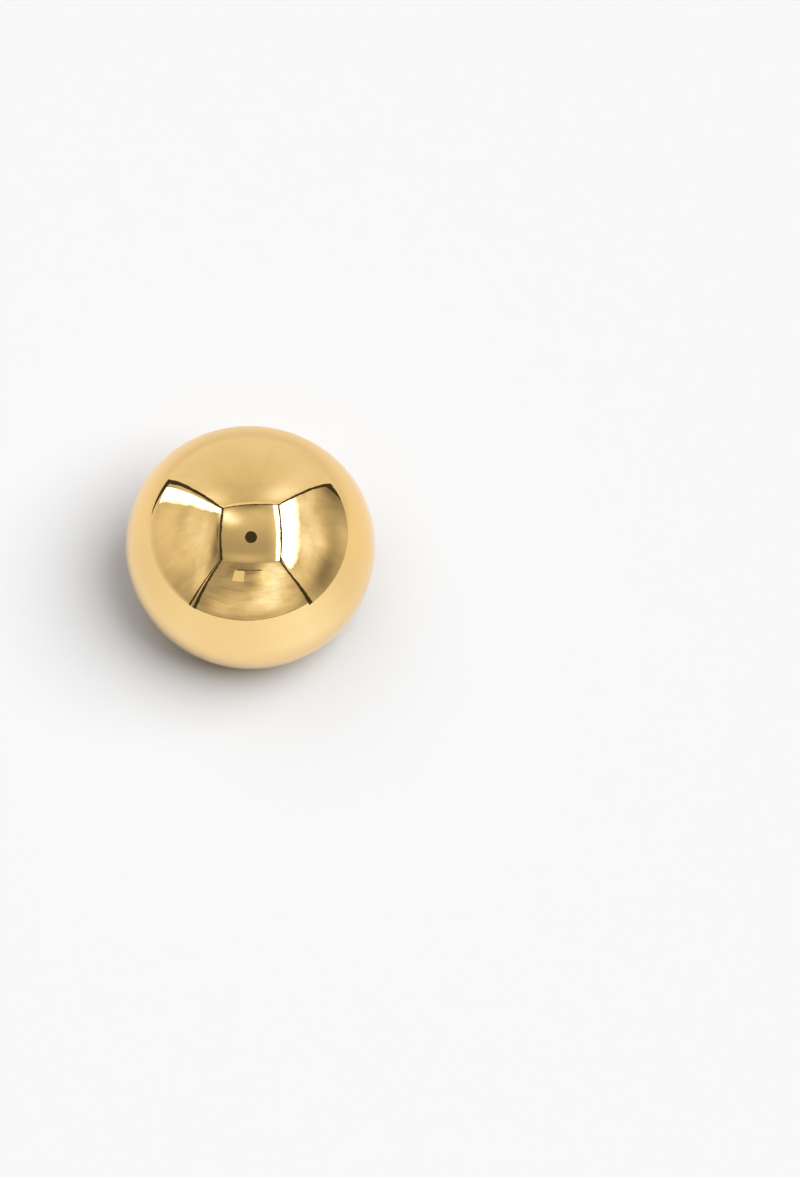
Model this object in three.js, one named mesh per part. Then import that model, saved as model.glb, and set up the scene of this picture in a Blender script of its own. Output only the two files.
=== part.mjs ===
// A large domed ear stud in polished gold plate, lying by itself on a flat surface.
// Millimetres, +Z up. The stud rests on the lowest point of its rim and on the tip of its post,
// so its dome leans towards -Y. The origin is on the surface, under the middle of the stud.
import * as THREE from 'three';

// Driving dimensions of the dome
const DOME_DIAMETER = 26.6;
const FRONT_CURVE_RATIO = 1.085; // radius of the front curve over the radius of the rim
const FRONT_CURVE_DEG = 50; // how far from the axis the front curve runs before the shoulder begins
const SHELL_WALL = 0.8;
const RIM_SKIRT = 0.25; // short straight wall between the shoulder and the turned-in rim
const RIM_ROUND = 0.55; // outside corner of the turned-in rim
const RIM_LIP_WIDTH = 1.7; // how far the rim reaches in, from the outside of the dome
const RIM_LIP_THICKNESS = 0.7;

// Driving dimensions of the back
const FIT_GAP = 0.3; // clearance between pieces that lie against each other
const PLATE_THICKNESS = 0.8;
const POST_OFFSET = 4.7; // the post sits above the middle, so the dome hangs upright on the ear
const POST_REACH = 9.8; // how far the post stands out behind the rim
const POST_DIAMETER = 0.9;
const POST_FOOT_DIAMETER = 5;
const POST_FOOT_THICKNESS = 0.6;
const POST_FOOT_FILLET = 0.4;
const NOTCH_FROM_TIP = 2.2;
const NOTCH_HALF_LENGTH = 0.4;
const NOTCH_DEPTH = 0.12;

// How finely round shapes are divided
const DOME_SIDES = 72;
const POST_SIDES = 16;
const FRONT_STEPS = 10;
const SHOULDER_STEPS = 8;
const CORNER_STEPS = 4;

const RIM_RADIUS = DOME_DIAMETER / 2;
const POST_RADIUS = POST_DIAMETER / 2;
const RIM_BACK = -(RIM_SKIRT + RIM_ROUND); // height of the rim's back face, with the shoulder's end at 0
const PLATE_BACK = RIM_BACK + RIM_LIP_THICKNESS + FIT_GAP;
const FOOT_FRONT = PLATE_BACK - FIT_GAP;
const POST_TIP = RIM_BACK - POST_REACH;

// Points on an arc in the plane of a turned profile: radius across, height up, angles from the axis.
function arc(centreRadius, centreHeight, radius, fromDeg, toDeg, steps) {
  return Array.from({ length: steps + 1 }, (_, i) => {
    const angle = THREE.MathUtils.degToRad(fromDeg + ((toDeg - fromDeg) * i) / steps);
    return new THREE.Vector2(
      Math.abs(centreRadius + radius * Math.sin(angle)),
      centreHeight + radius * Math.cos(angle),
    );
  });
}

// A solid turned about its local Z axis, with one flat side towards -Y.
function turned(profile, sides) {
  const geometry = new THREE.LatheGeometry(profile, sides, Math.PI / sides);
  return geometry.rotateX(Math.PI / 2);
}

// The dome's front is one large arc. It runs into a tighter shoulder arc that meets the rim upright.
// The inside follows the same two centres, one wall thickness in.
const frontRadius = FRONT_CURVE_RATIO * RIM_RADIUS;
const sinFront = Math.sin(THREE.MathUtils.degToRad(FRONT_CURVE_DEG));
const cosFront = Math.cos(THREE.MathUtils.degToRad(FRONT_CURVE_DEG));
const shoulderRadius = (RIM_RADIUS - frontRadius * sinFront) / (1 - sinFront);
const shoulderCentre = RIM_RADIUS - shoulderRadius;
const frontCentreHeight = -(frontRadius - shoulderRadius) * cosFront;

function domeShell() {
  const inFront = frontRadius - SHELL_WALL;
  const inShoulder = shoulderRadius - SHELL_WALL;
  const lipTop = RIM_BACK + RIM_LIP_THICKNESS;
  const roundCentre = RIM_RADIUS - RIM_ROUND;
  const profile = [
    ...arc(0, frontCentreHeight, inFront, 0, FRONT_CURVE_DEG, FRONT_STEPS),
    ...arc(shoulderCentre, 0, inShoulder, FRONT_CURVE_DEG, 90, SHOULDER_STEPS).slice(1),
    new THREE.Vector2(RIM_RADIUS - SHELL_WALL, lipTop),
    new THREE.Vector2(RIM_RADIUS - RIM_LIP_WIDTH, lipTop),
    new THREE.Vector2(RIM_RADIUS - RIM_LIP_WIDTH, RIM_BACK),
    ...arc(roundCentre, RIM_BACK + RIM_ROUND, RIM_ROUND, 180, 90, CORNER_STEPS),
    ...arc(shoulderCentre, 0, shoulderRadius, 90, FRONT_CURVE_DEG, SHOULDER_STEPS),
    ...arc(0, frontCentreHeight, frontRadius, FRONT_CURVE_DEG, 0, FRONT_STEPS).slice(1),
  ];
  return turned(profile, DOME_SIDES);
}

// A flat disc a little wider than the mouth that the turned-in rim leaves, so the rim holds it.
function backPlate() {
  const radius = RIM_RADIUS - SHELL_WALL - FIT_GAP;
  const profile = [
    new THREE.Vector2(0, PLATE_BACK),
    new THREE.Vector2(radius, PLATE_BACK),
    new THREE.Vector2(radius, PLATE_BACK + PLATE_THICKNESS),
    new THREE.Vector2(0, PLATE_BACK + PLATE_THICKNESS),
  ];
  return turned(profile, DOME_SIDES);
}

// A flat round foot and a thin pin with a shallow notch near its rounded tip, turned as one piece.
function earPost() {
  const footBack = FOOT_FRONT - POST_FOOT_THICKNESS;
  const notch = POST_TIP + NOTCH_FROM_TIP;
  const profile = [
    ...arc(0, POST_TIP + POST_RADIUS, POST_RADIUS, 180, 90, CORNER_STEPS),
    new THREE.Vector2(POST_RADIUS, notch - NOTCH_HALF_LENGTH),
    new THREE.Vector2(POST_RADIUS - NOTCH_DEPTH, notch),
    new THREE.Vector2(POST_RADIUS, notch + NOTCH_HALF_LENGTH),
    new THREE.Vector2(POST_RADIUS, footBack - POST_FOOT_FILLET),
    new THREE.Vector2(POST_RADIUS + POST_FOOT_FILLET, footBack),
    new THREE.Vector2(POST_FOOT_DIAMETER / 2, footBack),
    new THREE.Vector2(POST_FOOT_DIAMETER / 2, FOOT_FRONT),
    new THREE.Vector2(0, FOOT_FRONT),
  ];
  return turned(profile, POST_SIDES).translate(0, POST_OFFSET, 0);
}

// The angle at which a straight floor touches both the rim's round corner and the post's round tip.
function restingTilt() {
  const across = POST_OFFSET + RIM_RADIUS - RIM_ROUND;
  const down = POST_REACH + RIM_ROUND - POST_RADIUS;
  const lineOfCentres = Math.atan2(down, across);
  const roundDifference = Math.asin((POST_RADIUS - RIM_ROUND) / Math.hypot(across, down));
  return lineOfCentres + roundDifference;
}

function piece(name, geometry, roughness) {
  const gold = new THREE.MeshStandardMaterial({ color: 0xf3cf87, metalness: 1, roughness });
  const mesh = new THREE.Mesh(geometry, gold);
  mesh.name = name;
  return mesh;
}

const stud = new THREE.Group();
stud.add(
  piece('dome_shell', domeShell(), 0.03),
  piece('back_plate', backPlate(), 0.2),
  piece('ear_post', earPost(), 0.15),
);
stud.rotation.x = restingTilt();

const earring = new THREE.Group();
earring.add(stud);
const box = new THREE.Box3().setFromObject(earring, true);
const middle = box.getCenter(new THREE.Vector3());
stud.position.set(-middle.x, -middle.y, -box.min.z);

export default earring;
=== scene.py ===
import bpy
import numpy as np
from mathutils import Matrix, Vector


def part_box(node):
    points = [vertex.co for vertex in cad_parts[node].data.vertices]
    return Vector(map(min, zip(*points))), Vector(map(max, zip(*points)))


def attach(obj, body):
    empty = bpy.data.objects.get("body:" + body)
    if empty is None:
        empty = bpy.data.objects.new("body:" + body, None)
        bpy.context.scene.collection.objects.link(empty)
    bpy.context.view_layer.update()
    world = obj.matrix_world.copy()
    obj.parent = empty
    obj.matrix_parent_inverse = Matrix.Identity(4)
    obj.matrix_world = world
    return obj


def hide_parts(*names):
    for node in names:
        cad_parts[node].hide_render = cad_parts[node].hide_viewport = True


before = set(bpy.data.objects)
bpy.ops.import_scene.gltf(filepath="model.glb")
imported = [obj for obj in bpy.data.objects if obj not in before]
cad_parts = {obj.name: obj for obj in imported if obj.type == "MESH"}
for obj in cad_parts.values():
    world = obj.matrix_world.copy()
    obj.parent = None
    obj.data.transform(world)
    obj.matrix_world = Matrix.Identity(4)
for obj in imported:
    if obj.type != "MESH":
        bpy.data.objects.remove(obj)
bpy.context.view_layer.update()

# The dome is pressed from thin brass sheet, polished to a mirror and plated with yellow gold. Its front is
# one wide curve that tightens into the shoulder, and its rim is turned in to hold the back.
MM = 0.001
RIM_RADIUS = 13.3 * MM
RIM_SKIRT = 0.25 * MM
RIM_ROUND = 0.55 * MM
FRONT_CURVE = 1.085 * RIM_RADIUS
SHOULDER_FROM_DEG, SHOULDER_TO_DEG = 38.0, 64.0
WALL = 0.8 * MM
LIP_WIDTH = 1.7 * MM
LIP_THICKNESS = 0.7 * MM
LIP_EDGE = 0.12 * MM
OUTER_STEPS, INNER_STEPS, ROUND_STEPS, EDGE_STEPS = 220, 48, 12, 4
DOME_TURNS = 320
SHARP_EDGE_DEG = 50.0
GOLD = (0.955, 0.632, 0.230, 1.0)
GOLD_WORN = (0.945, 0.612, 0.215, 1.0)
HAZE_RANGE = (0.35, 0.75)
MIRROR_ROUGHNESS = (0.02, 0.05)
LACQUER, LACQUER_ROUGHNESS = 0.25, 0.02
# The stud lies by itself on the lowest point of its rim and on the tip of its post, so the dome leans
# forward. The post sits above the middle of the back, to hang a heavy stud upright, and sets the lean.
POST_OFFSET = 4.7 * MM
POST_REACH = 9.8 * MM
POST_RADIUS = 0.45 * MM
rim_to_post = POST_OFFSET + RIM_RADIUS - RIM_ROUND
rim_to_tip = POST_REACH + RIM_ROUND - POST_RADIUS
round_difference = np.arcsin((POST_RADIUS - RIM_ROUND) / np.hypot(rim_to_post, rim_to_tip))
lean = np.arctan2(rim_to_tip, rim_to_post) + round_difference
cos_lean, sin_lean = np.cos(lean), np.sin(lean)
round_circle = RIM_RADIUS - RIM_ROUND
rim_height = round_circle * sin_lean + RIM_SKIRT * cos_lean + RIM_ROUND
rim_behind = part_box("dome_shell")[1][1] - (round_circle * cos_lean + RIM_SKIRT * sin_lean + RIM_ROUND)
rim_back = -(RIM_SKIRT + RIM_ROUND)


def smooth_step(share):
    """Three times the square of a share less twice its cube, the share held between nought and one."""
    share = np.clip(share, 0.0, 1.0)
    return share * share * (3.0 - 2.0 * share)


def dome_curve(steps, inset):
    """Radius and height of the dome from apex to rim. The radius of curvature goes from the front
    curve to the shoulder's along a smooth step of the slope angle, and the running sums of curvature
    times cosine and sine of that angle give the curve, one inset inside the outer face."""
    slope = np.linspace(0.0, np.pi / 2.0, steps + 1)
    share = smooth_step((np.degrees(slope) - SHOULDER_FROM_DEG) / (SHOULDER_TO_DEG - SHOULDER_FROM_DEG))

    def running_sum(values):
        """The sum, so far, of each pair of neighbours' mean times the step of the slope angle."""
        mid = 0.5 * (values[1:] + values[:-1]) * np.diff(slope)
        return np.concatenate([[0.0], np.cumsum(mid)])

    front_reach = running_sum((1.0 - share) * np.cos(slope))[-1] * FRONT_CURVE
    shoulder_curve = (RIM_RADIUS - front_reach) / running_sum(share * np.cos(slope))[-1]
    curve = FRONT_CURVE * (1.0 - share) + shoulder_curve * share
    radius = running_sum(curve * np.cos(slope)) - inset * np.sin(slope)
    fall = running_sum(curve * np.sin(slope))
    return np.stack([radius, fall[-1] - fall - inset * np.cos(slope)], axis=-1)


def arc(centre, radius, start_deg, end_deg, steps):
    """Radius and height along an arc of a turned profile: the centre plus the radius times the sine
    and cosine of an angle measured from the axis."""
    angle = np.radians(np.linspace(start_deg, end_deg, steps + 1))
    return np.stack([centre[0] + radius * np.sin(angle), centre[1] + radius * np.cos(angle)], axis=-1)


def lay_down(points):
    """Points of the upright stud, with its axis along Z and the rim's middle at 0, leant forward
    about X by the lean and moved to where the rim's middle lies."""
    x, y, z = np.moveaxis(points, -1, 0)
    leant = [x, y * cos_lean - z * sin_lean + rim_behind, y * sin_lean + z * cos_lean + rim_height]
    return np.stack(leant, axis=-1)


def linked(name, points, faces):
    """A mesh of points and faces, put into the scene at the origin."""
    mesh = bpy.data.meshes.new(name)
    mesh.from_pydata(points, [], faces)
    made = bpy.data.objects.new(name, mesh)
    bpy.context.scene.collection.objects.link(made)
    return made


def turned(name, profile, turns, offset=0.0):
    """A profile carried round the axis: each of its points but the first and last makes a ring, at
    radius times the cosine and sine of the turn, and those two close the poles on the axis."""
    turn = np.linspace(0.0, 2.0 * np.pi, turns, endpoint=False)
    radius, height = profile[1:-1].T
    ring_x = radius[:, None] * np.cos(turn)
    ring_y = radius[:, None] * np.sin(turn) + offset
    rings = np.stack([ring_x, ring_y, np.broadcast_to(height[:, None], ring_x.shape)], axis=-1)
    poles = np.array([[0.0, offset, profile[0, 1]], [0.0, offset, profile[-1, 1]]])
    points = lay_down(np.concatenate([rings.reshape(-1, 3), poles]))
    here = np.arange(rings.shape[0] * turns).reshape(-1, turns)
    after = np.roll(here, -1, axis=1)
    walls = np.stack([here[:-1], after[:-1], after[1:], here[1:]], axis=-1).reshape(-1, 4)
    first, last = here.size, here.size + 1
    start_fan = np.stack([np.full(turns, first), after[0], here[0]], axis=-1)
    end_fan = np.stack([np.full(turns, last), here[-1], after[-1]], axis=-1)
    made = linked(name, points.tolist(), walls.tolist() + start_fan.tolist() + end_fan.tolist())
    made.data.shade_smooth()
    made.data.set_sharp_from_angle(angle=np.radians(SHARP_EDGE_DEG))
    return made


lip_top = rim_back + LIP_THICKNESS
lip_mouth = RIM_RADIUS - LIP_WIDTH
dome_profile = np.concatenate([
    dome_curve(INNER_STEPS, WALL),
    [[RIM_RADIUS - WALL, lip_top]],
    arc((lip_mouth + LIP_EDGE, lip_top - LIP_EDGE), LIP_EDGE, 0.0, -90.0, EDGE_STEPS),
    arc((lip_mouth + LIP_EDGE, rim_back + LIP_EDGE), LIP_EDGE, -90.0, -180.0, EDGE_STEPS),
    arc((round_circle, rim_back + RIM_ROUND), RIM_ROUND, 180.0, 90.0, ROUND_STEPS),
    dome_curve(OUTER_STEPS, 0.0)[::-1],
])
dome = turned("dome", dome_profile, DOME_TURNS)


def add_node(material, kind, values=()):
    """Adds a node of one kind to a material and sets its sockets, by name, to the values given."""
    node = material.node_tree.nodes.new("ShaderNode" + kind)
    for socket, value in dict(values).items():
        node.inputs[socket].default_value = value
    return node


def join(material, source, target):
    """Links an output of one of the material's nodes to an input of another."""
    material.node_tree.links.new(source, target)


def finish(name, values):
    """A new finish, with the values given set on its shader's own sockets, by name."""
    made = bpy.data.materials.new(name)
    made.use_nodes = True
    for socket, value in values.items():
        made.node_tree.nodes["Principled BSDF"].inputs[socket].default_value = value
    return made


def feed(material, socket, source):
    """Lets a pattern set one of the finish's sockets from place to place."""
    join(material, source, material.node_tree.nodes["Principled BSDF"].inputs[socket])


def noise(material, scale, detail):
    """An even noise in the piece's own coordinates, from nought to one."""
    place = add_node(material, "TexCoord")
    pattern = add_node(material, "TexNoise", {"Scale": scale, "Detail": detail})
    join(material, place.outputs["Object"], pattern.inputs["Vector"])
    return pattern.outputs["Fac"]


def blend(material, share, first, second):
    """The colour that lies a share of the way from a first colour to a second."""
    mix = add_node(material, "Mix")
    mix.data_type = "RGBA"
    mix.inputs["A"].default_value = first
    mix.inputs["B"].default_value = second
    join(material, share, mix.inputs["Factor"])
    return mix.outputs["Result"]


def span(material, value, target, source=(0.0, 1.0)):
    """A value carried evenly from its source range over to a target range, and held at both ends."""
    ends = {"From Min": source[0], "From Max": source[1], "To Min": target[0], "To Max": target[1]}
    carried = add_node(material, "MapRange", ends)
    join(material, value, carried.inputs["Value"])
    return carried.outputs["Result"]


def relief(material, height, strength, distance):
    """The way a surface faces when a height raises it by up to a distance."""
    bump = add_node(material, "Bump", {"Strength": strength, "Distance": distance})
    join(material, height, bump.inputs["Height"])
    return bump.outputs["Normal"]


# A thin clear lacquer over the plating keeps it from rubbing and pales the steep edges.
mirror_gold = finish("mirror_gold", {"Metallic": 1.0, "Coat Weight": LACQUER,
                                     "Coat Roughness": LACQUER_ROUGHNESS})
# Plating is a touch deeper in places, so the tint drifts slowly over the dome.
drift = noise(mirror_gold, scale=90.0, detail=3.0)
feed(mirror_gold, "Base Color", blend(mirror_gold, drift, GOLD, GOLD_WORN))
# Polishing leaves hairlines and faint haze: the gloss varies, and the face ripples very slightly.
haze = noise(mirror_gold, scale=420.0, detail=6.0)
feed(mirror_gold, "Roughness", span(mirror_gold, haze, MIRROR_ROUGHNESS, HAZE_RANGE))
ripple = noise(mirror_gold, scale=900.0, detail=2.0)
feed(mirror_gold, "Normal", relief(mirror_gold, ripple, strength=0.06, distance=0.02 * MM))
dome.data.materials.append(mirror_gold)
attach(dome, "root")
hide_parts("dome_shell")

# The back is a flat disc of the same brass, dropped in behind the turned-in rim. It sits against the ear
# and is finished plainly, with the fine rings that facing on a lathe leaves.
FIT_GAP = 0.3 * MM
PLATE_THICKNESS = 0.8 * MM
PLATE_EDGE = 0.15 * MM
PLATE_STEPS, PLATE_TURNS = 39, 160
SATIN_GOLD = (0.9, 0.62, 0.25, 1.0)
SATIN_GOLD_DEEP = (0.82, 0.54, 0.2, 1.0)
SATIN_ROUGHNESS = (0.22, 0.36)
plate_back = rim_back + LIP_THICKNESS + FIT_GAP
plate_front = plate_back + PLATE_THICKNESS
plate_rim = RIM_RADIUS - WALL - FIT_GAP - PLATE_EDGE
spread = np.linspace(0.0, plate_rim, PLATE_STEPS + 1)[1:-1]
plate_profile = np.concatenate([
    [[0.0, plate_back]],
    np.stack([spread, np.full_like(spread, plate_back)], axis=-1),
    arc((plate_rim, plate_back + PLATE_EDGE), PLATE_EDGE, 180.0, 90.0, EDGE_STEPS),
    arc((plate_rim, plate_front - PLATE_EDGE), PLATE_EDGE, 90.0, 0.0, EDGE_STEPS),
    [[0.0, plate_front]],
])
plate = turned("plate", plate_profile, PLATE_TURNS)

satin_gold = finish("satin_gold", {"Metallic": 1.0})
# Facing rings run round the middle of the plate, closer together than the eye can count.
place = add_node(satin_gold, "TexCoord")
upright = add_node(satin_gold, "Mapping", {"Location": (0.0, rim_behind, rim_height),
                                           "Rotation": (lean, 0.0, 0.0)})
upright.vector_type = "TEXTURE"
rings = add_node(satin_gold, "TexWave", {"Scale": 650.0, "Distortion": 0.4, "Detail": 1.0})
rings.wave_type = "RINGS"
rings.rings_direction = "Z"
join(satin_gold, place.outputs["Object"], upright.inputs["Vector"])
join(satin_gold, upright.outputs["Vector"], rings.inputs["Vector"])
facing = rings.outputs["Fac"]
feed(satin_gold, "Base Color", blend(satin_gold, facing, SATIN_GOLD, SATIN_GOLD_DEEP))
feed(satin_gold, "Roughness", span(satin_gold, facing, SATIN_ROUGHNESS))
feed(satin_gold, "Normal", relief(satin_gold, facing, strength=0.08, distance=0.02 * MM))
plate.data.materials.append(satin_gold)
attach(plate, "root")
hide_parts("back_plate")

# The post is a drawn pin with a round foot, turned as one piece and soldered to the plate above its middle,
# so no gap is left under the foot. A shallow notch near its rounded tip is where the ear nut would catch.
FOOT_RADIUS = 2.5 * MM
FOOT_THICKNESS = 0.6 * MM
FOOT_EDGE = 0.15 * MM
FOOT_FILLET = 0.4 * MM
NOTCH_FROM_TIP = 2.2 * MM
NOTCH_HALF_LENGTH = 0.4 * MM
NOTCH_DEPTH = 0.12 * MM
NOTCH_STEPS, SHANK_STEPS, TIP_STEPS, FILLET_STEPS = 12, 11, 8, 6
POST_TURNS = 64
POST_GOLD = (0.93, 0.65, 0.265, 1.0)
POST_GOLD_DEEP = (0.88, 0.59, 0.22, 1.0)
POST_ROUGHNESS = (0.08, 0.2)
post_tip = rim_back - POST_REACH
foot_front = plate_back
foot_back = plate_back - FIT_GAP - FOOT_THICKNESS
notch_middle = post_tip + NOTCH_FROM_TIP
notch_along = np.linspace(-NOTCH_HALF_LENGTH, NOTCH_HALF_LENGTH, NOTCH_STEPS + 1)
notch_round = POST_RADIUS - 0.5 * NOTCH_DEPTH * (1.0 + np.cos(np.pi * notch_along / NOTCH_HALF_LENGTH))
shank = np.linspace(notch_middle + NOTCH_HALF_LENGTH, foot_back - FOOT_FILLET, SHANK_STEPS + 1)[1:-1]
post_profile = np.concatenate([
    arc((0.0, post_tip + POST_RADIUS), POST_RADIUS, 180.0, 90.0, TIP_STEPS),
    np.stack([notch_round, notch_middle + notch_along], axis=-1),
    np.stack([np.full_like(shank, POST_RADIUS), shank], axis=-1),
    arc((POST_RADIUS + FOOT_FILLET, foot_back - FOOT_FILLET), FOOT_FILLET, -90.0, 0.0, FILLET_STEPS),
    arc((FOOT_RADIUS - FOOT_EDGE, foot_back + FOOT_EDGE), FOOT_EDGE, 180.0, 90.0, EDGE_STEPS),
    arc((FOOT_RADIUS - FOOT_EDGE, foot_front - FOOT_EDGE), FOOT_EDGE, 90.0, 0.0, EDGE_STEPS),
    [[0.0, foot_front]],
])
post = turned("post", post_profile, POST_TURNS, POST_OFFSET)

post_gold = finish("post_gold", {"Metallic": 1.0})
# Drawing the wire leaves faint marks, and handling leaves it a little dull.
drawn = noise(post_gold, scale=1600.0, detail=4.0)
feed(post_gold, "Base Color", blend(post_gold, drawn, POST_GOLD, POST_GOLD_DEEP))
feed(post_gold, "Roughness", span(post_gold, drawn, POST_ROUGHNESS))
feed(post_gold, "Normal", relief(post_gold, drawn, strength=0.15, distance=0.01 * MM))
post.data.materials.append(post_gold)
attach(post, "root")
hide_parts("ear_post")

# The floor is a wide sheet of plain pale card, smooth and matt. It runs well past the picture on all sides,
# so its edge is never seen.
FLOOR_REACH = 3.0
CARD = (0.6, 0.602, 0.607, 1.0)
CARD_SHADE = (0.598, 0.6, 0.605, 1.0)
CARD_ROUGHNESS, CARD_GLOSS = 0.9, 0.1


def sheet(name, points):
    """A stage piece over a grid of points: a face for each point, the next one across, and the two
    that follow them along."""
    here = np.arange(points.shape[0] * points.shape[1]).reshape(points.shape[:2])
    quads = np.stack([here[:-1, :-1], here[:-1, 1:], here[1:, 1:], here[1:, :-1]], axis=-1)
    made = linked(name, points.reshape(-1, 3).tolist(), quads.reshape(-1, 4).tolist())
    return made


def patch(name, corners, steps):
    """A bilinear patch: each point is the blend of four corners, near left, near right, far right and
    far left, by its two shares, one across and one along."""
    near_left, near_right, far_right, far_left = np.asarray(corners, float)
    share = np.linspace(0.0, 1.0, steps + 1)
    s, t = share[None, :, None], share[:, None, None]
    near, far = (1 - s) * near_left + s * near_right, (1 - s) * far_left + s * far_right
    return sheet(name, (1 - t) * near + t * far)


floor = patch("floor", [(-FLOOR_REACH, -FLOOR_REACH, 0.0), (FLOOR_REACH, -FLOOR_REACH, 0.0),
                        (FLOOR_REACH, FLOOR_REACH, 0.0), (-FLOOR_REACH, FLOOR_REACH, 0.0)], steps=1)
pale_card = finish("pale_card", {"Roughness": CARD_ROUGHNESS, "Specular IOR Level": CARD_GLOSS})
fibre = noise(pale_card, scale=700.0, detail=2.0)
feed(pale_card, "Base Color", blend(pale_card, fibre, CARD, CARD_SHADE))
floor.data.materials.append(pale_card)

# The light comes from a small light box that stands over the stud: a ceiling with a hole to look through,
# three walls of crumpled silver lining and a white sweep behind, sewn together along dark seams. The camera
# looks through it; the gold mirrors it.
BOX_HEIGHT = 0.42
WALL_FOOT = 0.004
PANEL_STEPS = 96
FOLD_RANGE = (0.3, 0.7)
FOLD_DETAIL, FOLD_WARP, CREASES_A_FOLD = 2.0, 0.8, 8.0
UPRIGHT_FOLDS = (1.0, 1.0, 0.25)
LEVEL_FOLDS = (0.2, 1.0, 1.0)
LAMP_RANGE = (0.75, 1.45)
NEUTRAL_LIGHT = (1.0, 1.0, 1.0, 1.0)
LAMP_LIGHT = (0.84, 1.0, 1.4, 1.0)
LEAST_SHINE = 0.02
FOOT_SHARPNESS = 0.01
ceiling_plan = {"left front": (-0.206, -0.252), "right front": (0.238, -0.272),
                "right back": (0.192, 0.136), "left back": (-0.172, 0.108)}
floor_plan = {"left front": (-0.206, -0.259), "right front": (0.244, -0.270),
              "right back": (0.155, 0.108), "left back": (-0.090, 0.067)}
top = {corner: np.array([*plan, BOX_HEIGHT]) for corner, plan in ceiling_plan.items()}
low = {corner: np.array([*plan, WALL_FOOT]) for corner, plan in floor_plan.items()}
stud_middle = np.array([0.0, rim_behind, rim_height])


def glow(name, strength):
    """A plain emission of one strength, as a bar of light has, or a seam at next to nothing."""
    made = bpy.data.materials.new(name)
    made.use_nodes = True
    made.node_tree.nodes.clear()
    out = add_node(made, "OutputMaterial")
    shine = add_node(made, "Emission", {"Strength": strength})
    join(made, shine.outputs["Emission"], out.inputs["Surface"])
    return made


def point_values(mesh, name, values):
    """Keeps one value a point on the mesh, for its material to read."""
    mesh.attributes.new(name, "FLOAT", "POINT").data.foreach_set("value", np.ravel(values))


def kept_value(material, name):
    """Reads the value that the mesh keeps at each point."""
    attribute = add_node(material, "Attribute")
    attribute.attribute_name = name
    return attribute.outputs["Fac"]


def crumpled(name, stretch, fold_scale, fold_depth, crease_depth):
    """Lining lit from within the box: emission of the panel's own shine, times one plus a broad noise
    for the folds, times one plus a fine noise, drawn out one way, for the creases. Its colour goes from
    neutral to the lamps' cool white as it brightens. It shows by its own cover, and where the cover is
    less than one, what lies behind shows through."""
    made = glow(name, 1.0)
    emission = made.node_tree.nodes["Emission"]
    place = add_node(made, "TexCoord")
    drawn_out = add_node(made, "Mapping", {"Scale": stretch})
    join(made, place.outputs["Object"], drawn_out.inputs["Vector"])
    brightness = kept_value(made, "shine")
    for source, scale, depth in ((place.outputs["Object"], fold_scale, fold_depth),
                                 (drawn_out.outputs["Vector"], CREASES_A_FOLD * fold_scale, crease_depth)):
        folds = add_node(made, "TexNoise", {"Scale": scale, "Detail": FOLD_DETAIL, "Distortion": FOLD_WARP})
        product = add_node(made, "Math")
        product.operation = "MULTIPLY"
        join(made, source, folds.inputs["Vector"])
        join(made, brightness, product.inputs[0])
        factor = span(made, folds.outputs["Fac"], (1.0 - depth, 1.0 + depth), FOLD_RANGE)
        join(made, factor, product.inputs[1])
        brightness = product.outputs["Value"]
    lamp_share = span(made, brightness, (0.0, 1.0), LAMP_RANGE)
    join(made, brightness, emission.inputs["Strength"])
    join(made, blend(made, lamp_share, NEUTRAL_LIGHT, LAMP_LIGHT), emission.inputs["Color"])
    clear = add_node(made, "BsdfTransparent")
    shown = add_node(made, "MixShader")
    join(made, kept_value(made, "cover"), shown.inputs["Fac"])
    join(made, clear.outputs["BSDF"], shown.inputs[1])
    join(made, emission.outputs["Emission"], shown.inputs[2])
    join(made, shown.outputs["Shader"], made.node_tree.nodes["Material Output"].inputs["Surface"])
    return made


def unseen(obj, material):
    """Gives a light-box piece its material, and lets it show in the gold only, so the floor stays even."""
    obj.data.materials.append(material)
    obj.visible_camera = False
    obj.visible_shadow = False
    obj.visible_diffuse = False


def bell(place, middle, reach):
    """One at the middle, falling off as the exponential of minus the squared distance over the reach."""
    return np.exp(-((place - middle) / reach) ** 2)


def panel(name, corners, material, base, patches, soft_foot=0.0):
    """A bilinear panel with a shine at each point: the base plus, for each patch of light or shade, its
    gain times one bell across and one along. A soft foot lets its lowest part fade out."""
    made = patch(name, corners, PANEL_STEPS)
    share = np.linspace(0.0, 1.0, PANEL_STEPS + 1)
    s, t = np.meshgrid(share, share)
    shine = np.full_like(s, base)
    for middle_across, middle_along, reach_across, reach_along, gain in patches:
        shine = shine + gain * bell(s, middle_across, reach_across) * bell(t, middle_along, reach_along)
    point_values(made.data, "shine", np.maximum(shine, LEAST_SHINE))
    cover = np.clip((t + FOOT_SHARPNESS) / (soft_foot + FOOT_SHARPNESS), 0.0, 1.0)
    point_values(made.data, "cover", cover)
    unseen(made, material)


side_lining = crumpled("side_lining", UPRIGHT_FOLDS, fold_scale=6.0, fold_depth=0.20, crease_depth=0.07)
front_lining = crumpled("front_lining", LEVEL_FOLDS, fold_scale=6.0, fold_depth=0.18, crease_depth=0.13)
smooth_lining = crumpled("smooth_lining", UPRIGHT_FOLDS, fold_scale=5.0, fold_depth=0.05, crease_depth=0.03)
ceiling_corners = top["left front"], top["right front"], top["right back"], top["left back"]
left_corners = low["left front"], low["left back"], top["left back"], top["left front"]
right_corners = low["right back"], low["right front"], top["right front"], top["right back"]
front_corners = low["right front"], low["left front"], top["left front"], top["right front"]
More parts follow.
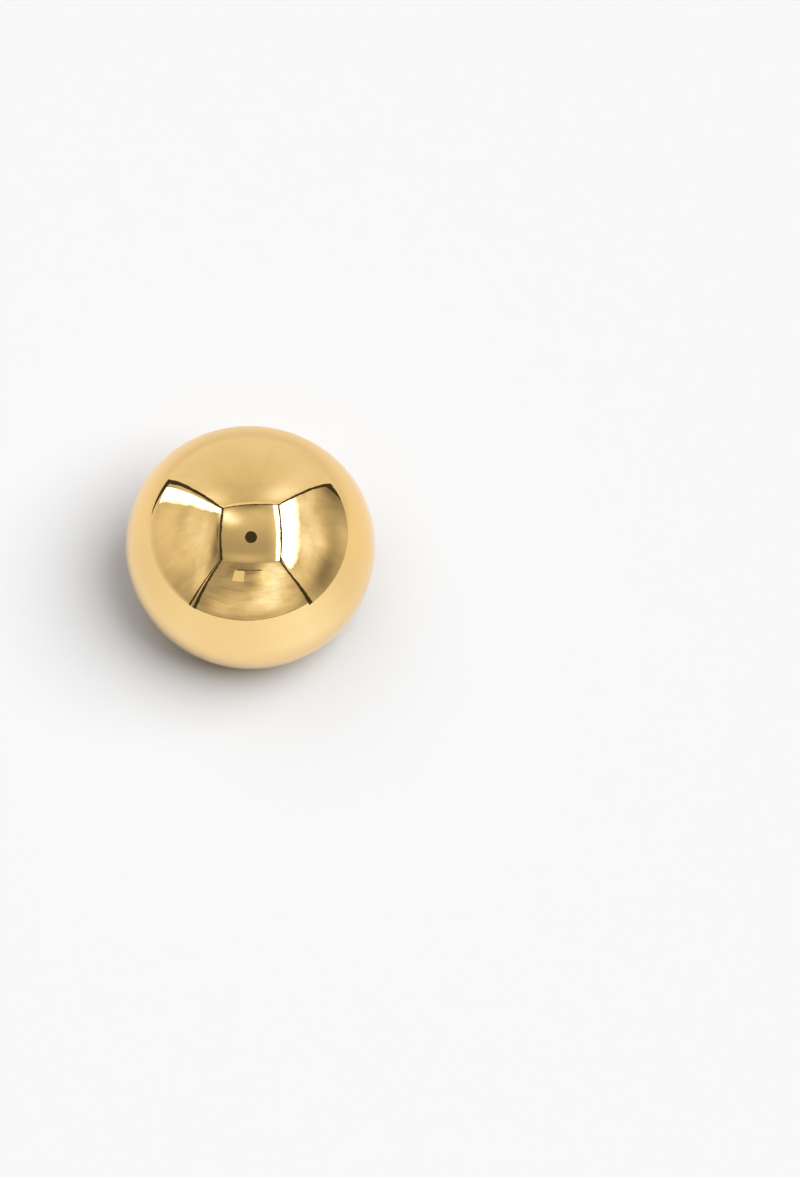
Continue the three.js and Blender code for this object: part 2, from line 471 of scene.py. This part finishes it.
# Each patch: middle across, middle along, reach across, reach along, gain.
panel("box_ceiling", ceiling_corners, smooth_lining, base=0.43, patches=[
    (0.50, 0.80, 0.60, 0.30, 0.28),
    (0.07, 0.86, 0.14, 0.09, 1.00),
    (0.20, 0.76, 0.14, 0.09, 0.70),
    (0.98, 0.55, 0.14, 0.60, 0.50),
    (0.45, 0.10, 0.35, 0.09, 0.22),
    (0.50, 1.00, 0.25, 0.08, -0.35),
])
panel("box_left", left_corners, side_lining, base=0.40, soft_foot=0.03, patches=[
    (0.68, 0.34, 0.40, 0.34, 0.56),
    (0.15, 0.38, 0.25, 0.18, 0.32),
    (0.45, 0.48, 0.18, 0.16, 0.10),
    (0.76, 0.10, 0.16, 0.10, 0.09),
    (0.92, 0.92, 0.14, 0.12, 0.70),
    (0.62, 0.86, 0.16, 0.06, -0.28),
    (0.05, 0.95, 0.25, 0.12, -0.20),
    (0.36, 0.76, 0.16, 0.12, -0.18),
])
panel("box_right", right_corners, side_lining, base=0.52, patches=[
    (0.35, 0.44, 0.50, 0.18, 0.52),
    (0.50, 0.40, 0.16, 0.11, 0.24),
    (0.37, 0.25, 0.09, 0.08, 0.28),
    (0.58, 0.14, 0.30, 0.11, -0.28),
    (0.03, 0.05, 0.10, 0.10, -0.30),
    (0.02, 0.28, 0.09, 0.09, 0.12),
    (0.28, 0.03, 0.08, 0.08, 0.24),
    (0.12, 0.42, 0.12, 0.14, 0.28),
    (0.95, 0.60, 0.08, 0.30, 0.20),
])
panel("box_front", front_corners, front_lining, base=0.38, patches=[
    (0.18, 0.80, 0.18, 0.28, 0.95),
    (0.30, 0.56, 0.13, 0.20, 0.62),
    (0.38, 0.26, 0.38, 0.26, 0.48),
    (0.37, 0.27, 0.10, 0.09, 0.36),
    (0.68, 0.20, 0.12, 0.12, 0.16),
    (0.81, 0.16, 0.10, 0.10, 0.22),
    (0.53, 0.52, 0.09, 0.07, -0.16),
    (0.50, 0.78, 0.12, 0.10, -0.08),
    (0.02, 0.12, 0.10, 0.10, -0.20),
])

# The white sweep rises from the floor behind the stud in one curve. It has no seam: it grows out of the
# card, so its front edge can't be told from the floor.
SWEEP_START, SWEEP_FULL = 0.013, 0.055
SWEEP_CURVE = 0.07
SWEEP_SIDE = 0.06
SWEEP_BACK = 0.139
SWEEP_LEFT, SWEEP_RIGHT = -0.180, 0.206
SWEEP_SLANT = 0.02
SWEEP_LIFT = 0.25 * WALL_FOOT
SWEEP_STEPS = 24
SWEEP_RISES = (0.0, 0.15, 0.35, 0.6, 1.0)
SWEEP_SHINES = (0.74, 0.91, 0.84, 0.69, 0.66)
# Each side glow: middle across, reach across, gain. Both lie at one height on the wall.
SIDE_GLOWS = ((0.02, 0.16, 0.42), (0.86, 0.20, 0.55))
SIDE_GLOW_RISE, SIDE_GLOW_REACH = 0.72, 0.25


def sweep(name, material):
    """A sheet carried from left to right: along it the height is flat, then a quarter round, then an
    upright wall. The shine rises over the flat, falls up the wall and is stronger to both sides; the
    cover goes from none at the front edge, and on the flat at both sides, to all at the wall."""
    quarter = np.linspace(0.0, np.pi / 2.0, SWEEP_STEPS + 1)
    curve_start = SWEEP_BACK - SWEEP_CURVE
    flat = np.linspace(SWEEP_START, curve_start, SWEEP_STEPS)[:-1]
    wall = np.linspace(SWEEP_CURVE, BOX_HEIGHT, 2 * SWEEP_STEPS)[1:]
    round_depth, round_height = SWEEP_CURVE * np.sin(quarter), SWEEP_CURVE * (1.0 - np.cos(quarter))
    depth = np.concatenate([flat, curve_start + round_depth, np.full_like(wall, SWEEP_BACK)])
    height = np.concatenate([np.zeros_like(flat), round_height, wall]) + SWEEP_LIFT
    share = np.linspace(0.0, 1.0, PANEL_STEPS + 1)
    left = np.interp(height, [0.0, BOX_HEIGHT], [SWEEP_LEFT, top["left back"][0]])
    right = np.interp(height, [0.0, BOX_HEIGHT], [SWEEP_RIGHT, top["right back"][0]])
    x = left[:, None] + (right - left)[:, None] * share
    backward = np.interp(depth, [SWEEP_START, SWEEP_BACK], [0.0, 1.0])[:, None]
    y = depth[:, None] + backward * (share - 0.5) * SWEEP_SLANT
    made = sheet(name, np.stack([x, y, np.broadcast_to(height[:, None], x.shape)], axis=-1))
    run = np.concatenate([[0.0], np.cumsum(np.hypot(np.diff(depth), np.diff(height)))])
    rise = (run / run[-1])[:, None]
    sides = sum(gain * bell(share, middle, reach) for middle, reach, gain in SIDE_GLOWS)
    shine = np.interp(rise, SWEEP_RISES, SWEEP_SHINES) + sides * bell(rise, SIDE_GLOW_RISE, SIDE_GLOW_REACH)
    forward = smooth_step((depth - SWEEP_START) / (SWEEP_FULL - SWEEP_START))[:, None]
    edge = smooth_step(np.minimum(share, 1.0 - share) / SWEEP_SIDE)
    raised = np.clip(height / SWEEP_CURVE, 0.0, 1.0)[:, None]
    point_values(made.data, "shine", shine)
    point_values(made.data, "cover", forward * np.maximum(edge, raised))
    unseen(made, material)


sweep("box_sweep", smooth_lining)

# Light pools on the card in front of the stud, most of all to the right. A thin sheet just above the card
# carries it, for the gold alone to mirror, and fades out towards the stud and to both sides.
POOL_AZIMUTHS_DEG = (-110.0, -75.0, -50.0, -40.0, -20.0, 0.0, 20.0, 35.0, 50.0, 65.0, 95.0)
POOL_SHINES = (0.92, 0.92, 0.97, 1.01, 0.99, 1.02, 1.13, 1.17, 1.06, 0.94, 0.92)
POOL_START, POOL_FULL, POOL_END = 0.0145, 0.026, 0.6
POOL_SIDE_DEG = 25.0
POOL_HEIGHT = 0.0006


def pool_shine(x, y):
    """The pool's shine in a direction from the stud, by its azimuth from the front round to the right."""
    return np.interp(np.degrees(np.arctan2(x, -y)), POOL_AZIMUTHS_DEG, POOL_SHINES)


def pool(name, material):
    """Part of a flat ring: radius times the sine and cosine of the azimuth. Its cover goes from none to
    all along a smooth step of the radius, and falls off in the last degrees to both sides."""
    azimuth_deg = np.linspace(POOL_AZIMUTHS_DEG[0], POOL_AZIMUTHS_DEG[-1], 2 * PANEL_STEPS + 1)
    azimuth = np.radians(azimuth_deg)
    radius = np.geomspace(POOL_START, POOL_END, PANEL_STEPS + 1)[:, None]
    x, y = radius * np.sin(azimuth), -radius * np.cos(azimuth)
    made = sheet(name, np.stack([x, y, np.full_like(x, POOL_HEIGHT)], axis=-1))
    away = smooth_step((radius - POOL_START) / (POOL_FULL - POOL_START))
    from_side = np.minimum(azimuth_deg - azimuth_deg[0], azimuth_deg[-1] - azimuth_deg) / POOL_SIDE_DEG
    point_values(made.data, "shine", pool_shine(x, y))
    point_values(made.data, "cover", away * np.clip(from_side, 0.0, 1.0))
    unseen(made, material)


pool_light = crumpled("pool_light", UPRIGHT_FOLDS, fold_scale=5.0, fold_depth=0.01, crease_depth=0.01)
pool("box_pool", pool_light)

# Seams are dark piping sewn in where two panels meet, thickest along both sides of the ceiling, and uneven
# where the lining puckers. A short dark stroke of piping turns along the floor at both back corners.
SEAM_WIDTH = 0.011
SEAM_STEPS, RIBBON_STEPS = 160, 12
SEAM_GLOW = 0.05
SEAM_PUCKER, SEAM_PHASE_STEP = 0.3, 2.0
RIBBON_SHARPNESS = 0.001
PUCKER_WAVES = np.array([9.0, 31.0, 67.0])
PUCKER_SHARES = np.array([1.0, 0.7, 0.5])
PUCKER_PHASES = np.array([1.0, 2.0, 3.0])
STROKE_TAPER, STROKE_NEARER = 0.9, 0.05
UPWARDS = np.array([0.0, 0.0, 1.0])
along = np.linspace(0.0, 1.0, SEAM_STEPS + 1)
seam_dark = glow("seam_dark", SEAM_GLOW)


def between(start, end, share):
    """What lies a share of the way from start to end."""
    return start + (end - start) * share


def uneven(depth, phase):
    """One plus a depth times three sine waves of the length, each by its share of the three."""
    waves = np.sin(np.outer(PUCKER_WAVES, along) + phase * PUCKER_PHASES[:, None])
    return 1.0 + depth * (PUCKER_SHARES @ waves) / PUCKER_SHARES.sum()


def ribbon(name, start, end, towards, inner, outer, material, nearer=0.015, soft=0.0, shine=1.0):
    """A ribbon from start to end, between an inner and an outer offset towards one side, given along
    its length, as its shine is. It stands a share of the way nearer the stud than the panels, and over
    its soft share its outer edge fades out."""
    line = between(between(start, end, along[:, None]), stud_middle, nearer)
    width_share = np.linspace(0.0, 1.0, RIBBON_STEPS + 1)
    first, last = np.broadcast_to(inner, along.shape), np.broadcast_to(outer, along.shape)
    offsets = between(first[:, None], last[:, None], width_share)
    made = sheet(name, line[:, None, :] + offsets[:, :, None] * towards)
    fade = np.clip((1.0 - width_share + RIBBON_SHARPNESS) / (soft + RIBBON_SHARPNESS), 0.0, 1.0)
    point_values(made.data, "cover", np.broadcast_to(fade, offsets.shape))
    point_values(made.data, "shine", np.broadcast_to(np.reshape(shine, (-1, 1)), offsets.shape))
    unseen(made, material)


def seam(name, start, end, widths, phase, shift=0.0, nearer=0.04):
    """A dark ribbon across the line of sight from the stud to the edge that it covers, going from a first
    width to a second, and shifted sideways by a share of its width."""
    side = np.cross(end - start, stud_middle - between(start, end, 0.5))
    side = side / np.linalg.norm(side)
    width = SEAM_WIDTH * between(*widths, along)
    inner = width * (shift - 0.5 * uneven(SEAM_PUCKER, phase))
    outer = width * (shift + 0.5 * uneven(SEAM_PUCKER, phase + SEAM_PHASE_STEP))
    ribbon(name, start, end, side, inner, outer, seam_dark, nearer)


def foot_stroke(name, start, wall_end, length, width):
    """A dark ribbon that stands on the side edge of the sweep, over a share of the wall's length: its
    lower edge is the height of the quarter round at each place, and its width falls to a tenth."""
    end = between(start, wall_end, length)
    sine = np.clip((between(start[1], end[1], along) - SWEEP_BACK + SWEEP_CURVE) / SWEEP_CURVE, 0.0, 1.0)
    rise = SWEEP_CURVE * (1.0 - np.sqrt(1.0 - sine * sine))
    tapered = width * SEAM_WIDTH * (1.0 - STROKE_TAPER * along)
    ribbon(name, start, end, UPWARDS, rise, rise + tapered, seam_dark, STROKE_NEARER)


seam("seam_top_left", top["left front"], top["left back"], widths=(1.7, 1.7), phase=0.3)
seam("seam_top_right", top["right front"], top["right back"], widths=(1.8, 1.6), phase=1.1)
seam("seam_top_back", top["left back"], top["right back"], widths=(0.6, 0.6), phase=2.0)
seam("seam_left_back", top["left back"], low["left back"], widths=(0.9, 0.5), phase=2.7)
seam("seam_right_back", top["right back"], low["right back"], widths=(0.9, 0.6), phase=3.4)
seam("seam_left_front", top["left front"], low["left front"], widths=(0.8, 1.4), phase=4.1)
seam("seam_left_front_twin", top["left front"], low["left front"], widths=(0.3, 0.6), phase=4.8,
     shift=-2.2, nearer=0.2)
seam("seam_right_front", top["right front"], low["right front"], widths=(0.9, 1.5), phase=5.5)
foot_stroke("seam_left_foot", low["left back"], low["left front"], length=0.12, width=1.2)
foot_stroke("seam_right_foot", low["right back"], low["right front"], length=0.09, width=2.6)

# The card curls up under the front wall, highest near the middle and flat at the left end. A thin shadow
# line lies along its edge.
CURL_RISE = 0.026
CURL_START, CURL_POWER = 0.14, 0.7
LINE_WIDTH, LINE_GLOW = 0.0025, 0.3
front_ends = low["right front"], low["left front"]
curl_height = CURL_RISE * np.sin(np.pi * between(CURL_START, 1.0, along)) ** CURL_POWER
curl_places = between(*front_ends, along[:, None])
ribbon("front_lip", *front_ends, UPWARDS, 0.0, curl_height, pool_light,
       shine=pool_shine(curl_places[:, 0], curl_places[:, 1]))
ribbon("front_line", *front_ends, UPWARDS, curl_height, curl_height + LINE_WIDTH,
       glow("line_dark", LINE_GLOW))

# A small flap of the lining is stitched to the front wall below the ceiling. It hangs in two halves, under
# a dark line of stitches.
FLAP_FOOT, FLAP_HEAD = 0.56, 0.77
STITCH_FROM, STITCH_TO = 0.70, 0.36
STITCH_HEIGHT, STITCH_ABOVE = 0.009, 0.006
STITCH_PUCKER, STITCH_PHASE, STITCH_GLOW = 0.5, 0.4, 0.12
# Each half: its start and end across the wall, from right to left, and its brightness.
FLAP_HALVES = ((0.73, 0.60, 0.86), (0.39, 0.29, 1.20))


def on_front(across, rise):
    """The place on the front wall at a share across, from right to left, and a share up."""
    head = between(top["right front"], top["left front"], across)
    return between(between(*front_ends, across), head, rise)


flap_height = (FLAP_HEAD - FLAP_FOOT) * BOX_HEIGHT
for half, (flap_start, flap_end, brightness) in enumerate(FLAP_HALVES):
    ribbon(f"flap_{half}", on_front(flap_start, FLAP_FOOT), on_front(flap_end, FLAP_FOOT), UPWARDS,
           0.0, flap_height, glow(f"flap_{half}", brightness))
stitch_top = STITCH_ABOVE + STITCH_HEIGHT * uneven(STITCH_PUCKER, STITCH_PHASE)
ribbon("flap_stitches", on_front(STITCH_FROM, FLAP_HEAD), on_front(STITCH_TO, FLAP_HEAD), UPWARDS,
       STITCH_ABOVE, stitch_top, glow("stitches_dark", STITCH_GLOW))

# Bars of bright light run along the right edge of the ceiling, down the top of the right wall and up the
# left back corner. Each is a strip of lamps behind white cloth, so its far edge is soft and a little wavy.
BAR_STRENGTH = 5.0
CEILING_BAR_LENGTH, WALL_BAR_LENGTH = 0.96, 0.88
CEILING_BAR_WIDTH = 0.042
WALL_BAR_WIDTH, WALL_BAR_TAPER, WALL_BAR_TAPER_POWER = 0.215, 0.3, 8
CORNER_BAR_WIDTH, CORNER_BAR_TAPER = 0.041, 0.008
CORNER_BAR_HEAD_GAP, CORNER_BAR_FOOT_GAP = 0.010, 0.012
bar_glow = crumpled("bar_glow", UPRIGHT_FOLDS, fold_scale=12.0, fold_depth=0.3, crease_depth=0.3)
right_edge = top["right back"], top["right front"]
corner_bar_head = top["left back"] - CORNER_BAR_HEAD_GAP * UPWARDS
corner_bar_foot = low["left back"] + CORNER_BAR_FOOT_GAP * UPWARDS
wall_bar_width = WALL_BAR_WIDTH * (1.0 - WALL_BAR_TAPER * along ** WALL_BAR_TAPER_POWER)
corner_bar_width = CORNER_BAR_WIDTH - CORNER_BAR_TAPER * along
# Each bar: name, start, end, the way its width runs, inset, width, depth and phase of its waves, soft share.
bars = (
    ("bar_ceiling", right_edge[0], between(*right_edge, CEILING_BAR_LENGTH), (-1.0, 0.0, 0.0),
     0.010, CEILING_BAR_WIDTH, 0.08, 1.0, 0.2),
    ("bar_right", right_edge[0], between(*right_edge, WALL_BAR_LENGTH), (-0.085, -0.06, -0.995),
     0.012, wall_bar_width, 0.04, 2.0, 0.3),
    ("bar_left", corner_bar_head, corner_bar_foot, (-0.09, -0.99, 0.0),
     0.010, corner_bar_width, 0.09, 3.0, 0.35),
)
for name, start, end, towards, inset, width, wave_depth, phase, soft in bars:
    ribbon(name, start, end, np.array(towards), inset, width * uneven(wave_depth, phase), bar_glow,
           soft=soft, shine=BAR_STRENGTH)

# Three wide soft lights give the shadow on the card: the key from the right and a little behind, the fill
# from behind on the left, and an even light from above. They don't show in the gold, where the bars and the
# lining already stand for them.
# Each light: name, azimuth, elevation and spread in degrees, power.
SOFT_LIGHTS = (
    ("key_light", 110.0, 56.0, 48.0, 3.82),
    ("fill_light", 208.0, 60.0, 60.0, 1.43),
    ("sky_light", 0.0, 89.9, 150.0, 0.51),
)


def soft_light(name, azimuth_deg, elevation_deg, spread_deg, power):
    """A far round light in a direction from the stud: azimuth from the front round to the right, and
    elevation above the floor."""
    azimuth, elevation = np.radians(azimuth_deg), np.radians(elevation_deg)
    level = np.cos(elevation)
    way = Vector((level * np.sin(azimuth), -level * np.cos(azimuth), np.sin(elevation)))
    light = bpy.data.lights.new(name, "SUN")
    light.angle = np.radians(spread_deg)
    light.energy = power
    made = bpy.data.objects.new(name, light)
    made.location = way
    made.rotation_mode = "QUATERNION"
    made.rotation_quaternion = (-way).to_track_quat("-Z", "Y")
    made.visible_glossy = False
    made.visible_camera = False
    bpy.context.scene.collection.objects.link(made)


for light_row in SOFT_LIGHTS:
    soft_light(*light_row)

# Past the light box the room is plain and pale, so any view shows a quiet background. It adds no light of
# its own to the card.
ROOM = (0.95, 0.95, 0.95, 1.0)
room = bpy.data.worlds.new("pale_room")
room.use_nodes = True
room.node_tree.nodes["Background"].inputs["Color"].default_value = ROOM
room.node_tree.nodes["Background"].inputs["Strength"].default_value = 1.0
bpy.context.scene.world = room
room.cycles_visibility.diffuse = False
bpy.context.scene.view_settings.view_transform = "Standard"

# The camera looks down on the stud through the hole in the ceiling, from a little in front, with a long
# lens. The dome sits left of the middle of the picture.
PHOTO_WIDTH, PHOTO_HEIGHT = 800.0, 1177.0
DOME_MIDDLE_ACROSS, DOME_MIDDLE_DOWN = 250.3, 547.7
DOME_HALF_WIDTH = 125.0
VIEW_ELEVATION_DEG = 79.5
CAMERA_DISTANCE = 0.6
CLIP_NEAR, CLIP_FAR = 0.01, 10.0
SENSOR_MM = 36.0
MIDDLE_BELOW_RIM = 0.14 * MM
metres_per_pixel = RIM_RADIUS / DOME_HALF_WIDTH
view_elevation = np.radians(VIEW_ELEVATION_DEG)
view_right = np.array([1.0, 0.0, 0.0])
view_up = np.array([0.0, np.sin(view_elevation), np.cos(view_elevation)])
view_back = np.array([0.0, -np.cos(view_elevation), np.sin(view_elevation)])
dome_middle = stud_middle - view_up * MIDDLE_BELOW_RIM
across = (PHOTO_WIDTH / 2.0 - DOME_MIDDLE_ACROSS) * metres_per_pixel
down = (PHOTO_HEIGHT / 2.0 - DOME_MIDDLE_DOWN) * metres_per_pixel
eye = dome_middle + view_right * across - view_up * down + view_back * CAMERA_DISTANCE
lens = bpy.data.cameras.new("camera")
lens.sensor_width = SENSOR_MM
lens.lens = SENSOR_MM * CAMERA_DISTANCE / (PHOTO_HEIGHT * metres_per_pixel)
lens.clip_start = CLIP_NEAR
lens.clip_end = CLIP_FAR
camera = bpy.data.objects.new("camera", lens)
camera_place = np.eye(4)
camera_place[:3] = np.stack([view_right, view_up, view_back, eye], axis=1)
camera.matrix_world = Matrix(camera_place.tolist())
bpy.context.scene.collection.objects.link(camera)
bpy.context.scene.camera = camera

# The hole in the ceiling is cut for the lens to look through. It is made as a dark disc just under the
# lining, on the line from the stud to the camera, and the dome mirrors it as a round spot.
LENS_HOLE_RADIUS = 0.037
LENS_HOLE_BELOW = 0.004
LENS_HOLE_TURNS = 48
hole_share = (BOX_HEIGHT - LENS_HOLE_BELOW - dome_middle[2]) / (eye - dome_middle)[2]
hole_turn = np.linspace(0.0, 2.0 * np.pi, LENS_HOLE_TURNS, endpoint=False)
hole_ring = np.stack([np.cos(hole_turn), np.sin(hole_turn), np.zeros_like(hole_turn)], axis=-1)
hole_points = between(dome_middle, eye, hole_share) + LENS_HOLE_RADIUS * hole_ring
lens_hole = linked("lens_hole", hole_points.tolist(), [list(range(LENS_HOLE_TURNS))])
unseen(lens_hole, seam_dark)
